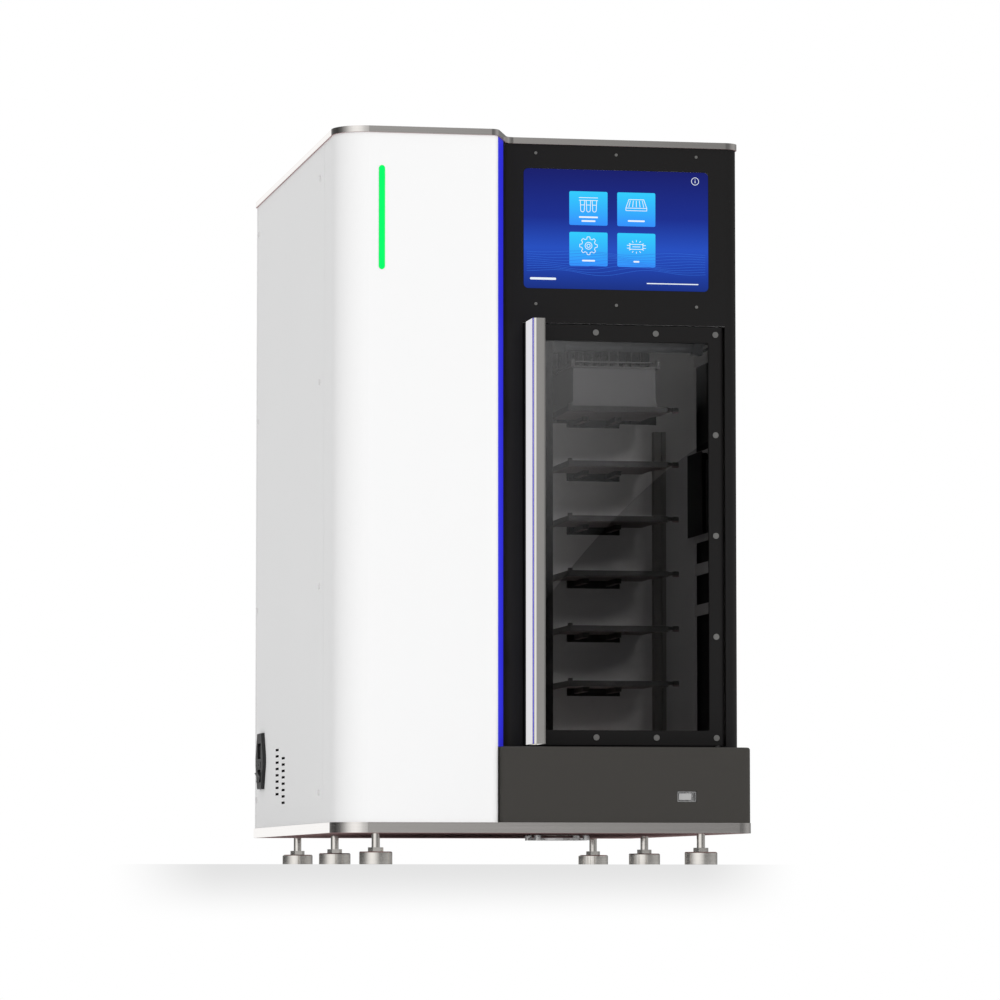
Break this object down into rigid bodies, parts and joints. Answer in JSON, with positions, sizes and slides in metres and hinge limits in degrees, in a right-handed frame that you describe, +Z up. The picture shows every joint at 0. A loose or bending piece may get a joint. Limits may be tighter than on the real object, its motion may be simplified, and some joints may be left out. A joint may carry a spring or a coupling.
{
  "type": "nucleic acid extractor",
  "caption": "Bench-top magnetic-rod nucleic acid extractor with stacked plate trays behind a hinged glass door, a touch screen and levelling feet.",
  "frame": {"origin": "middle of the whole machine in plan, on the bench, under the levelling feet", "axes": "+Z up, -Y towards the user at the door, +X to the user's right"},
  "size_m": [0.4156, 0.57, 0.71],
  "materials": {
    "brushed_plate": "brushed, satin edge",
    "white_cover": "fine white powder coat",
    "blue_strip": "satin blue",
    "green_lens": "lit green diffuser",
    "black_front": "satin black",
    "screen_glass": "lit touch screen",
    "grey_cover": "satin dark grey",
    "black_plastic": "moulded",
    "tinted_glass": "smoked acrylic",
    "handle_metal": "anodised",
    "screw_steel": "button heads",
    "foot_steel": "turned",
    "guard_chrome": "bright wire",
    "liner_grey": "light grey sheet",
    "column_aluminium": "grey anodised",
    "tray_metal": "dark grey sheet",
    "plate_plastic": "polypropylene",
    "magnet_steel": "ground steel",
    "motor_metal": "satin",
    "board_green": "solder mask",
    "lamp_glass": "fused quartz tube"
  },
  "bodies": {
    "housing": {"accent_strip": "blue_strip", "base_plate": "brushed_plate", "chamber_back": "liner_grey", "chamber_ceiling": "liner_grey", "chamber_floor": "liner_grey", "chamber_left_wall": "liner_grey", "chamber_right_wall": "liner_grey", "control_board": "board_green", "display_panel": "black_front", "display_screws": "screw_steel", "door_pivots": "screw_steel", "fan_frame": "black_plastic", "fan_guard": "guard_chrome", "front_frame": "black_front", "front_left_cover": "white_cover", "guide_column": "column_aluminium", "left_side_panel": "white_cover", "lift_rail": "column_aluminium", "lock_housing": "black_front", "lock_nuts": "screw_steel", "lower_front_cover": "grey_cover", "power_inlet": "black_plastic", "power_supply": "motor_metal", "rear_panel": "white_cover", "right_side_panel": "white_cover", "runner_mast": "column_aluminium", "screw_bracket": "column_aluminium", "side_panel_screws": "screw_steel", "status_light": "green_lens", "stepper_motor": "motor_metal", "top_plate": "brushed_plate", "touch_screen": "screen_glass", "tray_runners": "column_aluminium", "usb_socket": "black_plastic", "uv_lamp": "lamp_glass"},
    "door": {"door_frame": "black_front", "door_glass": "tinted_glass", "door_screws": "screw_steel", "door_handle": "handle_metal", "handle_standoffs": "black_front"},
    "tray_1": {"tray_1": "tray_metal", "deep_well_plate": "plate_plastic", "tip_comb": "plate_plastic"},
    "rod_head": {"rod_head": "magnet_steel", "lift_carriage": "column_aluminium"},
    "lead_screw": {"lead_screw": "magnet_steel"},
    "fan_rotor": {"fan_rotor": "black_plastic"},
    "rocker": {"rocker_switch": "black_plastic"},
    "fuse_drawer": {"fuse_drawer": "black_plastic"},
    "tray_2": {"tray_2": "tray_metal"},
    "tray_3": {"tray_3": "tray_metal"},
    "tray_4": {"tray_4": "tray_metal"},
    "tray_5": {"tray_5": "tray_metal"},
    "tray_6": {"tray_6": "tray_metal"},
    "foot_1": {"foot_1": "foot_steel"},
    "foot_2": {"foot_2": "foot_steel"},
    "foot_3": {"foot_3": "foot_steel"},
    "foot_4": {"foot_4": "foot_steel"},
    "foot_5": {"foot_5": "foot_steel"},
    "foot_6": {"foot_6": "foot_steel"}
  },
  "joints": [
    {"name": "door_hinge", "type": "hinge", "parent": "housing", "child": "door", "pos_m": [0.18576, -0.2275, 0.116], "axis": [0, 0, 1], "range_deg": [0, 92]},
    {"name": "tray_1_slide", "type": "slide", "parent": "housing", "child": "tray_1", "axis": [0, 1, 0], "range_m": [-0.02, 0.123]},
    {"name": "tray_2_slide", "type": "slide", "parent": "housing", "child": "tray_2", "axis": [0, 1, 0], "range_m": [-0.02, 0]},
    {"name": "tray_3_slide", "type": "slide", "parent": "housing", "child": "tray_3", "axis": [0, 1, 0], "range_m": [-0.02, 0]},
    {"name": "tray_4_slide", "type": "slide", "parent": "housing", "child": "tray_4", "axis": [0, 1, 0], "range_m": [-0.02, 0]},
    {"name": "tray_5_slide", "type": "slide", "parent": "housing", "child": "tray_5", "axis": [0, 1, 0], "range_m": [-0.02, 0]},
    {"name": "tray_6_slide", "type": "slide", "parent": "housing", "child": "tray_6", "axis": [0, 1, 0], "range_m": [-0.02, 0]},
    {"name": "head_lift", "type": "slide", "parent": "housing", "child": "rod_head", "axis": [0, 0, 1], "range_m": [-0.038, 0]},
    {"name": "lead_screw_spin", "type": "hinge", "parent": "housing", "child": "lead_screw", "pos_m": [0.16876, 0.06988, 0.5], "axis": [0, 0, 1], "range_deg": [-1000, 10]},
    {"name": "fan_spin", "type": "hinge", "parent": "housing", "child": "fan_rotor", "pos_m": [0.06176, -0.045, 0.05], "axis": [0, 0, 1], "continuous": true},
    {"name": "rocker_tilt", "type": "hinge", "parent": "housing", "child": "rocker", "pos_m": [-0.19774, 0.224, 0.0945], "axis": [0, 1, 0], "range_deg": [0, 20]},
    {"name": "fuse_drawer_pull", "type": "slide", "parent": "housing", "child": "fuse_drawer", "axis": [-1, 0, 0], "range_m": [0, 0.012]},
    {"name": "foot_1_turn", "type": "hinge", "parent": "housing", "child": "foot_1", "pos_m": [-0.15724, -0.252, 0.02], "axis": [0, 0, 1], "continuous": true},
    {"name": "foot_2_turn", "type": "hinge", "parent": "housing", "child": "foot_2", "pos_m": [-0.15724, 0.006, 0.02], "axis": [0, 0, 1], "continuous": true},
    {"name": "foot_3_turn", "type": "hinge", "parent": "housing", "child": "foot_3", "pos_m": [-0.15724, 0.264, 0.02], "axis": [0, 0, 1], "continuous": true},
    {"name": "foot_4_turn", "type": "hinge", "parent": "housing", "child": "foot_4", "pos_m": [0.16276, -0.252, 0.02], "axis": [0, 0, 1], "continuous": true},
    {"name": "foot_5_turn", "type": "hinge", "parent": "housing", "child": "foot_5", "pos_m": [0.16276, 0.006, 0.02], "axis": [0, 0, 1], "continuous": true},
    {"name": "foot_6_turn", "type": "hinge", "parent": "housing", "child": "foot_6", "pos_m": [0.16276, 0.264, 0.02], "axis": [0, 0, 1], "continuous": true}
  ],
  "couplings": [
    {"joint": "lead_screw_spin", "follows": "head_lift", "rad_per_m": 392.7}
  ]
}
